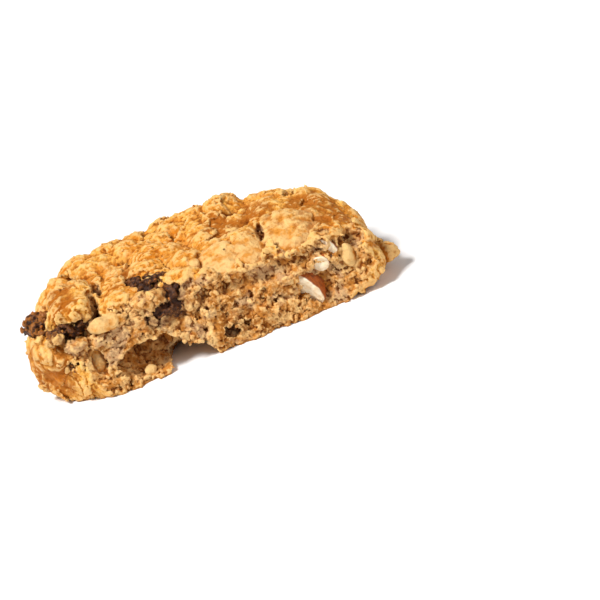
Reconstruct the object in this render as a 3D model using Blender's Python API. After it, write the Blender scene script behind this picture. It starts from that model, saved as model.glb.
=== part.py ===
"""Half of a fig and almond oat biscuit, broken across the middle and lying flat on its underside.

The origin is the middle of the flat underside. +X runs along the break, -Y faces out of it and +Z is up.
The dough is one solid, meshed from a distance field: a thick round with a rounded rim, lumps, bubbles and
a crumbly break. Oat flakes are fused to it. Fig and almond pieces sit in pockets of their own in the break.
"""

import math
import random

import bmesh
import bpy
from mathutils import Matrix, Vector
from mathutils.bvhtree import BVHTree

MM = 0.001

# Driving dimensions, in millimetres. The round's own frame has its origin in the middle of the break's lower
# edge.
HALF_WIDTH_LEFT = 37.9
HALF_WIDTH_RIGHT = 37.4
WIDEST_BEHIND_BREAK = 4.0
REACH_BACK = 34.6
REACH_FRONT_LEFT = 11.5
REACH_FRONT_RIGHT = 10.0
OUTLINE_POWER = 2.3
SIDE_BLEND = 10.0
BACK_BLEND = 2.0
SMALLEST_SHARE = 0.0001
SKEW = 0.07
THICKNESS = 20.0
TOP_SLOPE = 0.045
TOP_RISE = 0.10
RISE_FROM = 20.0
BASE_SINK = 1.0
RIM_ROUNDING = 8.2
DOME_DROP = 2.5
ORIGIN_IN_ROUND = (0.30, 17.83)

# The break: how far its top is set back for each millimetre of height, how far it stands forward, and its
# swell, clumps and grain.
BREAK_LEAN = 0.12
BREAK_FORWARD = 1.6
SWELL_SIZE = 15.0
SWELL_DEPTH = 5.0
CLUMP_SIZE = 2.8
CLUMP_DEPTH = 1.1
CRUMB_SIZE = 3.6
CRUMB_DEPTH = 4.0

# The crust: the bend of the whole round, then the plates, knobs and grain of its surface.
BEND_SIZE = 19.0
BEND_DEPTH = (6.0, 6.0, 3.4)
PLATE_SIZE = 6.5
PLATE_TILT = 0.35
PLATE_STEP = 0.8
PLATE_BEND_SIZE = 2.5
PLATE_BEND = 1.6
PLATE_PATCH = 11.0
PLATE_PATCH_EDGE = (-0.15, 0.1)
KNOB_SIZE = 6.2
KNOB_DEPTH = 2.8
KNOB_BEND_SIZE = 5.0
KNOB_BEND = 2.0
TOP_FROM = 13.0
TOP_STRETCH = 0.65
GRAIN_SIZE = 3.4
GRAIN_DEPTH = 2.2
LUMP_BLEND = 0.5
LARGE_LUMPS = 2
LARGE_LUMP_RELIEF = 0.3
LARGE_LUMP_EDGE = (-0.5, 2.0)
EDGE_BLEND = 0.6

# Large lumps of the crust: centre and radii.
LUMPS = (
    ((-26.0, 6.4, 18.4), (4.9, 7.6, 3.1)),
    ((-33.4, 7.5, 11.6), (5.0, 7.5, 5.2)),
    ((-24.0, 20.0, 15.6), (5.4, 5.0, 3.4)),
    ((-14.6, 25.0, 16.0), (6.0, 5.6, 3.4)),
    ((8.8, 26.5, 17.4), (4.4, 5.0, 3.0)),
    ((10.0, 3.5, 15.7), (5.6, 4.4, 3.0)),
    ((38.2, 4.6, 4.6), (1.5, 1.6, 1.4)),
)

# Bubbles and cracks that open in the break or the crust: centre and radii.
HOLLOWS = (
    ((-14.6, -0.5, 5.2), (8.0, 6.5, 3.7)),
    ((-6.8, 0.0, -0.4), (5.4, 12.0, 5.0)),
    ((32.0, -0.2, 12.1), (3.0, 4.2, 1.9)),
    ((28.4, -0.5, 18.6), (4.6, 6.4, 3.6)),
    ((12.0, -2.2, 12.4), (11.0, 2.8, 2.2)),
    ((-22.0, 3.6, 17.6), (0.9, 4.4, 2.8)),
    ((-21.0, 10.6, 19.0), (1.2, 4.6, 3.0)),
    ((-28.2, -0.6, 15.0), (4.8, 3.4, 2.2)),
    ((10.4, 13.0, 17.6), (3.4, 1.2, 2.6)),
    ((2.2, -1.0, 4.0), (2.4, 1.8, 1.7)),
    ((23.6, -1.6, 6.4), (2.2, 2.4, 4.2)),
    ((15.2, 7.0, 17.2), (0.8, 4.8, 1.7)),
    ((19.8, -0.2, 15.6), (4.6, 0.8, 1.0)),
)
HOLLOW_ROUGHNESS = 0.5
HOLLOW_BLEND = 0.5

# Lumps of crumb that lie in front of the fruit: centre and radii.
CLUMPS = (
    ((-11.6, 0.4, 16.2), (4.2, 2.6, 1.7)),
    ((-28.0, -0.8, 13.2), (3.0, 1.8, 1.6)),
    ((-24.0, -0.4, 12.4), (2.4, 1.8, 1.5)),
    ((-31.6, 0.2, 15.6), (1.8, 1.6, 1.2)),
    ((-3.0, -0.8, 12.0), (2.0, 1.6, 1.4)),
)

# Pieces of fig set in the break: each is one or more lobes, with a centre and radii.
FIGS = {
    "fig_middle": (
        ((-12.4, 6.6, 17.4), (2.4, 2.0, 1.3)),
        ((-9.0, 4.0, 17.2), (2.9, 2.6, 1.7)),
        ((-6.0, 1.8, 15.4), (2.4, 2.2, 2.2)),
        ((-8.6, 1.2, 12.4), (5.6, 2.4, 2.1)),
    ),
    "fig_left_end": (((-34.2, 6.8, 17.6), (2.8, 3.0, 1.7)),),
    "fig_left_inner": (((-28.8, 2.4, 16.2), (4.6, 2.4, 1.6)),),
    "fig_low_left": (((-28.8, 1.4, 8.4), (3.2, 2.0, 1.4)),),
}
FIG_BLEND = 1.6
FIG_WRINKLE_SIZE = 2.6
FIG_WRINKLE_DEPTH = 1.8

# Chopped nut set in the break: centre, radii, turns about Y and Z in degrees, and where its flat cut lies.
NUTS = {
    "almond_piece": ((19.5, -0.6, 4.9), (5.4, 3.0, 4.4), (22.0, -50.0), 0.0),
    "almond_bit": ((24.4, -0.7, 9.8), (1.7, 2.0, 1.9), (30.0, -60.0), -0.3),
    "almond_sliver": ((26.8, -0.5, 12.2), (1.1, 1.7, 2.5), (14.0, -60.0), -0.3),
}

# Oat flakes that show whole: centre, radii and turns about X and Y in degrees.
FLAKES = (
    ((21.0, 7.0, 16.3), (5.2, 6.8, 1.2), (20.0, 6.0)),
    ((5.4, 4.8, 16.9), (4.1, 5.0, 1.1), (18.0, -5.0)),
    ((11.6, 4.4, 16.4), (3.0, 4.6, 1.1), (22.0, 10.0)),
    ((0.2, 5.0, 18.0), (1.2, 1.4, 0.7), (20.0, 0.0)),
    ((-21.2, -1.0, 15.5), (3.5, 1.7, 0.9), (50.0, 4.0)),
    ((-25.2, -0.6, 8.2), (1.1, 2.2, 0.7), (84.0, 10.0)),
    ((-16.0, -1.0, 2.3), (1.3, 1.0, 0.6), (60.0, 20.0)),
    ((30.2, -0.8, 9.4), (1.5, 2.6, 0.7), (80.0, 30.0)),
)
FLAKE_THICKNESS = 1.0
FLAKE_SIDES = 8
FLAKE_RINGS = 4
FLAKE_WAVE = 0.1
FLAKE_BENDS = (0.5, 2.2), (0.3, 2.6)

# Smaller flakes: how many, their least and greatest size, how deep they are sunk, and where they lie.
TOP_FLAKES = 30
RIM_FLAKES = 14
BREAK_FLAKES = 8
FLAKE_LENGTHS = (4.6, 8.2)
FLAKE_WIDTH_SHARES = (0.6, 0.82)
FLAKE_SINKS = (0.1, 0.5)
CRUST_FLAKE_TILT = 0.3
BREAK_FLAKE_TILT = 1.0
TOP_FLAKE_REACH = (0.86, 0.9)
TOP_FLAKES_FROM = 3.0
RIM_FLAKE_HEIGHTS = (5.0, 12.5)
RIM_MIDDLE = 8.0
BREAK_FLAKE_HEIGHTS = (3.5, 13.5)
BREAK_FLAKE_MARGIN = 7.0
WELL_OUTSIDE = 60.0
GOLDEN_ANGLE = math.pi * (3 - math.sqrt(5))
GOLDEN_SHARE = 0.618
SEED = 7

# Meshing: the size of a voxel, the space round the forms, and how many triangles the plain dough and a piece
# of fig or nut keep.
VOXEL = 0.85
PIECE_VOXEL = 0.45
DOUGH_TRIANGLES = 3900
PIECE_TRIANGLES = 260
FIELD_MARGIN = (3.0, 6.0)
FIELD_FRONT = -8.0
FIELD_HEIGHTS = (-1.5, 26.0)
PIECE_MARGIN = 2.5
POCKET_GAP = 0.3
NUT_EDGE = 0.4
OPENING_SHIFT = (0.0, 2.4, -1.0)
FLAT_CUT = 0.2

# Materials: base colour and roughness.
FINISHES = {
    "dough": ((0.50, 0.25, 0.085), 0.75),
    "fig": ((0.035, 0.018, 0.012), 0.45),
    "almond": ((0.36, 0.12, 0.03), 0.4),
}


class Field:
    """A number or vector worked out at each point by a node tree. Python's operators add the Math nodes."""

    def __init__(self, tree, socket):
        self.tree = tree
        self.socket = socket

    def node(self, kind, settings=None, **sockets):
        """Adds a node with its settings first and then its named sockets, and returns it."""
        made = self.tree.nodes.new(kind)
        for name, value in (settings or {}).items():
            setattr(made, name, value)
        for name, value in sockets.items():
            self.fill(made.inputs[name.replace("_", " ")], value)
        return made

    def fill(self, socket, value):
        if isinstance(value, Field):
            self.tree.links.new(value.socket, socket)
        else:
            socket.default_value = value

    def operate(self, kind, operation, *values, output=0):
        made = self.node(kind, {"operation": operation})
        for socket, value in zip(made.inputs, values):
            self.fill(socket, value)
        return Field(self.tree, made.outputs[output])

    def math(self, operation, *values):
        return self.operate("ShaderNodeMath", operation, *values)

    def __add__(self, other):
        return self.math("ADD", self, other)

    def __radd__(self, other):
        return self.math("ADD", other, self)

    def __sub__(self, other):
        return self.math("SUBTRACT", self, other)

    def __rsub__(self, other):
        return self.math("SUBTRACT", other, self)

    def __mul__(self, other):
        return self.math("MULTIPLY", self, other)

    def __rmul__(self, other):
        return self.math("MULTIPLY", other, self)

    def __truediv__(self, other):
        return self.math("DIVIDE", self, other)

    def __rtruediv__(self, other):
        return self.math("DIVIDE", other, self)

    def __pow__(self, other):
        return self.math("POWER", self, other)

    def __neg__(self):
        return self.math("MULTIPLY", self, -1.0)

    def __abs__(self):
        return self.math("ABSOLUTE", self)

    def larger(self, other):
        return self.math("MAXIMUM", self, other)

    def smaller(self, other):
        return self.math("MINIMUM", self, other)

    def clamped(self, low, high):
        return self.larger(low).smaller(high)

    def joined(self, other, blend):
        """The union with another distance, rounded over the blend width."""
        return self.math("SMOOTH_MIN", self, other, blend)

    def common(self, other, blend):
        """What this distance and another share, rounded over the blend width."""
        return self.math("SMOOTH_MAX", self, other, blend)

    def beside(self, other, power=2.0):
        """The length over two numbers, or that of a squarer outline with a higher power."""
        return (abs(self) ** power + abs(other) ** power) ** (1.0 / power)

    def moved(self, offset):
        return self.operate("ShaderNodeVectorMath", "ADD", self, offset)

    def less(self, offset):
        return self.operate("ShaderNodeVectorMath", "SUBTRACT", self, offset)

    def dot(self, other):
        return self.operate("ShaderNodeVectorMath", "DOT_PRODUCT", self, other, output=1)

    def scaled(self, factors):
        return self.operate("ShaderNodeVectorMath", "MULTIPLY", self, factors)

    def length(self):
        return self.operate("ShaderNodeVectorMath", "LENGTH", self, output=1)

    def turned(self, axis, degrees):
        made = self.node("ShaderNodeVectorRotate", {"rotation_type": axis + "_AXIS"}, Vector=self)
        made.inputs["Angle"].default_value = math.radians(degrees)
        return Field(self.tree, made.outputs[0])

    def parts(self):
        made = self.node("ShaderNodeSeparateXYZ", Vector=self)
        return [Field(self.tree, output) for output in made.outputs]

    def noise(self, size, detail=2.0, roughness=0.5):
        """Cloudy noise whose features have this size, from about -0.5 to 0.5."""
        texture = {"Scale": 1.0 / size, "Detail": detail, "Roughness": roughness}
        made = self.node("ShaderNodeTexNoise", Vector=self, **texture)
        return Field(self.tree, made.outputs["Fac"]) - 0.5

    def noise_vector(self, size, detail=1.0):
        """The same with a separate noise for X, Y and Z."""
        made = self.node("ShaderNodeTexNoise", Vector=self, Scale=1.0 / size, Detail=detail)
        return Field(self.tree, made.outputs["Color"]).moved((-0.5, -0.5, -0.5))

    def domes(self, size):
        """Packed round bumps this far apart: about -0.4 on top of one and 0.6 in the valleys between."""
        made = self.node("ShaderNodeTexVoronoi", {"normalize": False}, Vector=self, Scale=1.0 / size)
        return Field(self.tree, made.outputs["Distance"]) ** 2.0 - 0.4

    def ramp(self, low, high):
        """0 at the low value and 1 at the high one, smooth between and level beyond them."""
        made = self.node("ShaderNodeMapRange", {"interpolation_type": "SMOOTHSTEP"}, Value=self)
        self.fill(made.inputs["From Min"], low)
        self.fill(made.inputs["From Max"], high)
        return Field(self.tree, made.outputs["Result"])

    def ellipsoid(self, centre, radii, turns=()):
        """Roughly the distance to an ellipsoid's surface, negative inside."""
        offset = self.moved([-value for value in centre])
        for axis, degrees in turns:
            offset = offset.turned(axis, -degrees)
        return (offset.scaled([1.0 / value for value in radii]).length() - 1.0) * min(radii)


def crust_distance(point):
    """The unbroken biscuit: a thick round with a rounded rim, which drops a little from its middle."""
    x, y, z = point.parts()
    z = z + BASE_SINK
    behind = y - WIDEST_BEHIND_BREAK + x * SKEW
    right = (x / SIDE_BLEND).clamped(-1.0, 1.0) * 0.5 + 0.5
    front = right * (REACH_FRONT_RIGHT - REACH_FRONT_LEFT) + REACH_FRONT_LEFT
    back = (behind / BACK_BLEND).clamped(-0.5, 0.5) + 0.5
    reach = front + back * (REACH_BACK - front)
    half_width = right * (HALF_WIDTH_RIGHT - HALF_WIDTH_LEFT) + HALF_WIDTH_LEFT
    share = (x / half_width).beside(behind / reach, OUTLINE_POWER) + SMALLEST_SHARE
    outline = x.beside(behind) * (1.0 - 1.0 / share)
    middle = THICKNESS / 2
    drop = share * share * DOME_DROP + x * TOP_SLOPE + (RISE_FROM - y) * TOP_RISE
    lifted = z * (drop / THICKNESS + 1.0)
    across = outline + RIM_ROUNDING
    above = abs(lifted - middle) - (middle - RIM_ROUNDING)
    corner = across.larger(0.0).beside(above.larger(0.0))
    return corner + across.larger(above).smaller(0.0) - RIM_ROUNDING


def plate_relief(point):
    """Flat overlapping patches, each tilted its own way, like flakes under a thin dough."""
    bent = point.moved(point.noise_vector(PLATE_BEND_SIZE).scaled((PLATE_BEND,) * 3))
    nearest = bent.node("ShaderNodeTexVoronoi", Vector=bent, Scale=1.0 / PLATE_SIZE)
    chance = Field(point.tree, nearest.outputs["Color"]).moved((-0.5, -0.5, -0.5))
    place = Field(point.tree, nearest.outputs["Position"])
    return bent.less(place).dot(chance) * PLATE_TILT + chance.parts()[2] * PLATE_STEP


def upright(point):
    """Stretches a pattern upward over the top, so that its bumps stand there and don't overhang."""
    above = (point.parts()[2] - TOP_FROM).larger(0.0)
    return point.moved(above.scaled((0.0, 0.0, -TOP_STRETCH)))


def crust_relief(point):
    """How far the crust stands below its plain form: soft knobs, a few plates and grain."""
    point = upright(point)
    bent = point.moved(point.noise_vector(KNOB_BEND_SIZE).scaled((KNOB_BEND,) * 3))
    plates = plate_relief(point) * point.noise(PLATE_PATCH).ramp(*PLATE_PATCH_EDGE)
    return bent.domes(KNOB_SIZE) * KNOB_DEPTH + plates + point.noise(GRAIN_SIZE, 3.0, 0.6) * GRAIN_DEPTH


def crumb_relief(point):
    """How far the broken dough stands below its plain form."""
    return point.domes(CLUMP_SIZE) * CLUMP_DEPTH + point.noise(CRUMB_SIZE, 4.0, 0.68) * CRUMB_DEPTH


def break_distance(point):
    """The broken side: everything behind a leaning, swelling and crumbly wall."""
    x, y, z = point.parts()
    wall = (z - THICKNESS / 2) * BREAK_LEAN - BREAK_FORWARD + point.noise(SWELL_SIZE) * SWELL_DEPTH
    return wall + crumb_relief(point) - y


def nearest_of(point, places):
    """The distance to the nearest of several ellipsoids, each a centre and radii."""
    first, *others = [point.ellipsoid(centre, radii) for centre, radii in places]
    for other in others:
        first = first.smaller(other)
    return first


def openings(point):
    """Room in front of each piece of fig and nut, so that it shows."""
    ahead = point.moved(OPENING_SHIFT)
    room = nearest_of(ahead, [lobe for lobes in FIGS.values() for lobe in lobes])
    for centre, radii, turns, _ in NUTS.values():
        room = room.smaller(ahead.ellipsoid(centre, radii, (("Z", -turns[1]), ("Y", -turns[0]))))
    return room


def dough_distance(point):
    """Distance to the dough's surface in millimetres, negative inside, at a point of the round's frame."""
    bent = point.moved(point.noise_vector(BEND_SIZE).scaled(BEND_DEPTH))
    plain = crust_distance(bent)
    for centre, radii in LUMPS:
        plain = plain.joined(point.ellipsoid(centre, radii), min(radii) * LUMP_BLEND)
    large = nearest_of(point, LUMPS[:LARGE_LUMPS])
    calm = large.ramp(*LARGE_LUMP_EDGE) * (1.0 - LARGE_LUMP_RELIEF) + LARGE_LUMP_RELIEF
    dough = (plain + crust_relief(point) * calm).common(break_distance(point), EDGE_BLEND)
    roughness = crumb_relief(point) * HOLLOW_ROUGHNESS
    for centre, radii in HOLLOWS:
        dough = dough.common(roughness - point.ellipsoid(centre, radii), HOLLOW_BLEND)
    dough = dough.common(-openings(point), HOLLOW_BLEND)
    for centre, radii in CLUMPS:
        dough = dough.joined(point.ellipsoid(centre, radii) + roughness, HOLLOW_BLEND)
    return dough.larger(-point.parts()[2])


def fig_distance(point, lobes):
    """A wrinkled piece of dried fig made of rounded lobes."""
    wrinkled = point.noise(FIG_WRINKLE_SIZE, 3.0) * FIG_WRINKLE_DEPTH
    first, *others = [point.ellipsoid(centre, radii) for centre, radii in lobes]
    for lobe in others:
        first = first.joined(lobe, FIG_BLEND)
    return first + wrinkled


def nut_distance(point, centre, radii, turns, cut_at):
    """A chopped piece of nut: a rounded kernel with a flat cut on its left."""
    level = point.moved([-value for value in centre]).turned("Y", turns[0]).turned("Z", turns[1])
    cut = level.parts()[0] * -1.0 + cut_at * radii[0]
    return level.ellipsoid((0.0, 0.0, 0.0), radii).common(cut, NUT_EDGE)


def field_mesh(name, distance, low, high, voxel):
    """An object with the mesh on which the distance is zero, between two corners in the round's frame."""
    tree = bpy.data.node_groups.new(name + "_field", "GeometryNodeTree")
    tree.interface.new_socket("Geometry", in_out="OUTPUT", socket_type="NodeSocketGeometry")
    point = Field(tree, tree.nodes.new("GeometryNodeInputPosition").outputs[0])
    shift = Vector((*ORIGIN_IN_ROUND, 0.0))
    solid = -distance(point.scaled((1 / MM, 1 / MM, 1 / MM)).moved(shift))
    steps = [max(3, round((top - bottom) / voxel)) for bottom, top in zip(low, high)]
    corners = {"Min": (Vector(low) - shift) * MM, "Max": (Vector(high) - shift) * MM}
    counts = {"Resolution_X": steps[0], "Resolution_Y": steps[1], "Resolution_Z": steps[2]}
    volume = point.node("GeometryNodeVolumeCube", Density=solid, Background=-1.0, **corners, **counts)
    surface = point.node("GeometryNodeVolumeToMesh", Volume=Field(tree, volume.outputs[0]), Threshold=0.0)
    tree.links.new(surface.outputs[0], tree.nodes.new("NodeGroupOutput").inputs[0])
    holder = bpy.data.objects.new(name, bpy.data.meshes.new(name))
    bpy.context.scene.collection.objects.link(holder)
    holder.modifiers.new("Field", "NODES").node_group = tree
    return keep_largest(applied(holder))


def applied(obj):
    """Gives the object its evaluated mesh in place of its modifiers."""
    bpy.context.view_layer.update()
    graph = bpy.context.evaluated_depsgraph_get()
    mesh = bpy.data.meshes.new_from_object(obj.evaluated_get(graph))
    obj.modifiers.clear()
    obj.data = mesh
    return obj


def keep_largest(obj):
    """Drops loose scraps and sealed bubbles, so that one closed body is left."""
    work = bmesh.new()
    work.from_mesh(obj.data)
    unseen = set(work.verts)
    largest = set()
    while unseen:
        start = unseen.pop()
        island = {start}
        front = [start]
        while front:
            vert = front.pop()
            fresh = {edge.other_vert(vert) for edge in vert.link_edges} & unseen
            unseen -= fresh
            island |= fresh
            front.extend(fresh)
        if len(island) > len(largest):
            largest = island
    bmesh.ops.delete(work, geom=[vert for vert in work.verts if vert not in largest], context="VERTS")
    work.to_mesh(obj.data)
    work.free()
    return obj


def thinned(obj, triangles):
    """Decimates the object to about this many triangles."""
    obj.data.calc_loop_triangles()
    decimate = obj.modifiers.new("Thin", "DECIMATE")
    decimate.ratio = min(1.0, triangles / len(obj.data.loop_triangles))
    return applied(obj)


def flat_underside(obj):
    """Cuts the underside to one true plane and sets it at height zero."""
    work = bmesh.new()
    work.from_mesh(obj.data)
    everything = work.verts[:] + work.edges[:] + work.faces[:]
    height = Vector((0.0, 0.0, FLAT_CUT * MM))
    plane = {"plane_co": height, "plane_no": (0, 0, 1)}
    cut = bmesh.ops.bisect_plane(work, geom=everything, clear_inner=True, **plane)
    rim = [part for part in cut["geom_cut"] if isinstance(part, bmesh.types.BMEdge)]
    bmesh.ops.triangle_fill(work, use_beauty=True, use_dissolve=False, edges=rim, normal=(0, 0, -1))
    bmesh.ops.translate(work, verts=work.verts, vec=-height)
    work.to_mesh(obj.data)
    work.free()


def box_round(centres, radii):
    """The corners of a box that holds ellipsoids with these centres and radii."""
    lobes = list(zip(centres, radii))
    low = [min(centre[axis] - size[axis] for centre, size in lobes) - PIECE_MARGIN for axis in range(3)]
    high = [max(centre[axis] + size[axis] for centre, size in lobes) + PIECE_MARGIN for axis in range(3)]
    return low, high


def inserts():
    """Each piece of fig and nut: its name, material, distance and the box that holds it."""
    for name, lobes in FIGS.items():
        yield name, "fig", lambda point, lobes=lobes: fig_distance(point, lobes), box_round(*zip(*lobes))
    for name, row in NUTS.items():
        centre, radii, _, _ = row
        widest = (max(radii),) * 3
        yield name, "almond", lambda point, row=row: nut_distance(point, *row), box_round([centre], [widest])


def in_part(centre):
    """A point of the round's own frame, in millimetres, in the part's frame in metres."""
    return Vector((centre[0] - ORIGIN_IN_ROUND[0], centre[1] - ORIGIN_IN_ROUND[1], centre[2])) * MM


def flake_mesh(name, length, width, seed):
    """An oat flake: a thin oval plate, bent and with a wavy rim."""
    phase = random.Random(seed).uniform(0, 2 * math.pi)
    work = bmesh.new()
    bmesh.ops.create_uvsphere(work, u_segments=FLAKE_SIDES, v_segments=FLAKE_RINGS, radius=1.0)
    (along, along_rate), (across, across_rate) = FLAKE_BENDS
    for vert in work.verts:
        x, y, z = vert.co
        reach = 1.0 + FLAKE_WAVE * math.sin(3 * math.atan2(y, x) + phase)
        bend = along * math.sin(along_rate * x + phase) + across * math.cos(across_rate * y + phase)
        height = (z / 2 + bend) * FLAKE_THICKNESS
        vert.co = Vector((x * reach * length / 2, y * reach * width / 2, height)) * MM
    mesh = bpy.data.meshes.new(name)
    work.to_mesh(mesh)
    work.free()
    return mesh


def placed(name, mesh, location, rotation, collection):
    obj = bpy.data.objects.new(name, mesh)
    obj.matrix_world = Matrix.Translation(location) @ rotation.to_4x4()
    collection.objects.link(obj)
    return obj


def turned(across, along):
    """The rotation for turns in degrees about Y and then X."""
    return Matrix.Rotation(math.radians(across), 3, "X") @ Matrix.Rotation(math.radians(along), 3, "Y")


def laid_on(normal, tilt, spin):
    """The rotation of a flake that lies against a surface, tilted a little and spun about its normal."""
    lean = Matrix.Rotation(tilt, 3, "X") @ Matrix.Rotation(spin, 3, "Z")
    return normal.to_track_quat("Z", "Y").to_matrix() @ lean


def between(low, high, number):
    """A value between two, spread evenly over the numbers."""
    return low + (high - low) * ((number * GOLDEN_SHARE) % 1.0)


def flake_rays():
    """Where the smaller flakes are looked for: a start, a direction and the most tilt for each."""
    reach_back = REACH_BACK + WIDEST_BEHIND_BREAK
    for number in range(2 * TOP_FLAKES):
        share = math.sqrt((number + 0.5) / (2 * TOP_FLAKES))
        angle = number * GOLDEN_ANGLE
        x = TOP_FLAKE_REACH[0] * HALF_WIDTH_RIGHT * share * math.cos(angle)
        y = TOP_FLAKE_REACH[1] * reach_back * share * math.sin(angle)
        if y > TOP_FLAKES_FROM:
            yield in_part((x, y, WELL_OUTSIDE)), Vector((0, 0, -1)), CRUST_FLAKE_TILT
    for number in range(RIM_FLAKES):
        angle = math.pi * (number + 0.5) / RIM_FLAKES
        outward = Vector((math.cos(angle), math.sin(angle), 0.0))
        start = in_part((0.0, RIM_MIDDLE, between(*RIM_FLAKE_HEIGHTS, number)))
        yield start + outward * WELL_OUTSIDE * MM, -outward, CRUST_FLAKE_TILT
    for number in range(BREAK_FLAKES):
        width = HALF_WIDTH_LEFT + HALF_WIDTH_RIGHT - 2 * BREAK_FLAKE_MARGIN
        x = width * ((number + 0.5) / BREAK_FLAKES - 0.5)
        start = in_part((x, -WELL_OUTSIDE, between(*BREAK_FLAKE_HEIGHTS, number)))
        yield start, Vector((0, 1, 0)), BREAK_FLAKE_TILT


def scattered_flakes(dough, collection):
    """Lays the smaller flakes on the dough, each sunk to a part of its thickness."""
    tree = BVHTree.FromObject(dough, bpy.context.evaluated_depsgraph_get())
    draw = random.Random(SEED)
    for number, (start, direction, most_tilt) in enumerate(flake_rays()):
        length = draw.uniform(*FLAKE_LENGTHS)
        width = length * draw.uniform(*FLAKE_WIDTH_SHARES)
        tilt = draw.uniform(-most_tilt, most_tilt)
        spin = draw.uniform(0, 2 * math.pi)
        sink = draw.uniform(*FLAKE_SINKS)
        point, normal, _, _ = tree.ray_cast(start, direction)
        if point is None:
            continue
        mesh = flake_mesh(f"flake_{number}", length, width, number)
        outward = (normal - direction).normalized()
        place = point - outward * sink * MM
        placed(f"flake_{number}", mesh, place, laid_on(outward, tilt, spin), collection)


def large_flakes(collection):
    for number, (centre, radii, turns) in enumerate(FLAKES):
        mesh = flake_mesh(f"large_flake_{number}", 2 * radii[0], 2 * radii[1], number)
        placed(f"large_flake_{number}", mesh, in_part(centre), turned(*turns), collection)


def boolean(obj, operation, collection):
    """Joins the collection's objects to this one or cuts them from it, and removes them."""
    modifier = obj.modifiers.new("Boolean", "BOOLEAN")
    modifier.operation = operation
    modifier.operand_type = "COLLECTION"
    modifier.collection = collection
    modifier.solver = "EXACT"
    applied(obj)
    for used in list(collection.objects):
        bpy.data.objects.remove(used)


def material(name):
    colour, roughness = FINISHES[name]
    made = bpy.data.materials.new(name)
    made.use_nodes = True
    shader = made.node_tree.nodes["Principled BSDF"]
    shader.inputs["Base Color"].default_value = (*colour, 1.0)
    shader.inputs["Roughness"].default_value = roughness
    shader.inputs["Metallic"].default_value = 0.0
    made.diffuse_color = (*colour, 1.0)
    return made


def new_collection(name):
    made = bpy.data.collections.new(name)
    bpy.context.scene.collection.children.link(made)
    return made


def put(obj, collection):
    """Moves an object into a collection."""
    for holder in list(obj.users_collection):
        holder.objects.unlink(obj)
    collection.objects.link(obj)


def build():
    for old in list(bpy.data.objects):
        bpy.data.objects.remove(old)
    parts = new_collection("fig_almond_biscuit")
    flakes = new_collection("flakes")
    pockets = new_collection("pockets")
    finishes = {name: material(name) for name in FINISHES}

    width = max(HALF_WIDTH_LEFT, HALF_WIDTH_RIGHT) + FIELD_MARGIN[0]
    deep = WIDEST_BEHIND_BREAK + REACH_BACK + FIELD_MARGIN[1]
    bottom, top = FIELD_HEIGHTS
    low, high = (-width, FIELD_FRONT, bottom), (width, deep, top)
    dough = thinned(field_mesh("biscuit_half", dough_distance, low, high, VOXEL), DOUGH_TRIANGLES)
    flat_underside(dough)
    scattered_flakes(dough, flakes)
    large_flakes(flakes)
    boolean(dough, "UNION", flakes)

    for name, kind, distance, (low, high) in inserts():
        piece = thinned(field_mesh(name, distance, low, high, PIECE_VOXEL), PIECE_TRIANGLES)
        piece.data.materials.append(finishes[kind])
        put(piece, parts)
        wider = lambda point, distance=distance: distance(point) - POCKET_GAP
        pocket = field_mesh(name + "_pocket", wider, low, high, PIECE_VOXEL)
        put(thinned(pocket, PIECE_TRIANGLES), pockets)
    boolean(dough, "DIFFERENCE", pockets)
    keep_largest(dough)
    dough.data.materials.clear()
    dough.data.materials.append(finishes["dough"])
    put(dough, parts)


build()
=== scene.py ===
import math

import bpy
from bpy.props import FloatProperty, FloatVectorProperty, IntProperty, PointerProperty
from mathutils import Matrix, Vector


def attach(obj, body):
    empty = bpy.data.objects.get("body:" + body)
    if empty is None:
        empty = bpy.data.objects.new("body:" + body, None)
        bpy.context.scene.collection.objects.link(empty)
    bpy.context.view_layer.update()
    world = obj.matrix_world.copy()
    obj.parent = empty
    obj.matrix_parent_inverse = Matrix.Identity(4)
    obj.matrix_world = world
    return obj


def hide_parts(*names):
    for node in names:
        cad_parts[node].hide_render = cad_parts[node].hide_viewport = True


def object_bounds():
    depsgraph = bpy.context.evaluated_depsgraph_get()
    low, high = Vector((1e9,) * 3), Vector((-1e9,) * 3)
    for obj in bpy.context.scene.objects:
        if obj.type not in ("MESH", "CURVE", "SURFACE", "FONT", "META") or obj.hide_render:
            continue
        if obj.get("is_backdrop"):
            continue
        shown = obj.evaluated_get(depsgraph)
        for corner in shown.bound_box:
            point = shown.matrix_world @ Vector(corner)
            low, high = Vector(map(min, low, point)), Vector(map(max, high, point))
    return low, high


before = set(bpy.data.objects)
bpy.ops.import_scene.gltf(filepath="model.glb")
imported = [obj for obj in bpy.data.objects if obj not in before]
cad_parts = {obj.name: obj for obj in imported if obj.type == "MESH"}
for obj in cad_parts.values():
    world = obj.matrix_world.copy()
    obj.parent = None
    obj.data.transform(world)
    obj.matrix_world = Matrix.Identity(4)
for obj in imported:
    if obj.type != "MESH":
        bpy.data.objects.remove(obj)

bl_info = {
    "name": "Fig and almond biscuit half",
    "version": (1, 0, 0),
    "blender": (4, 5, 0),
    "location": "View3D > Sidebar > Biscuit",
    "description": "Dresses the broken half of a fig and almond oat biscuit",
    "category": "Add Mesh",
}

MM = 0.001
CAD_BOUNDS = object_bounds()

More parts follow.
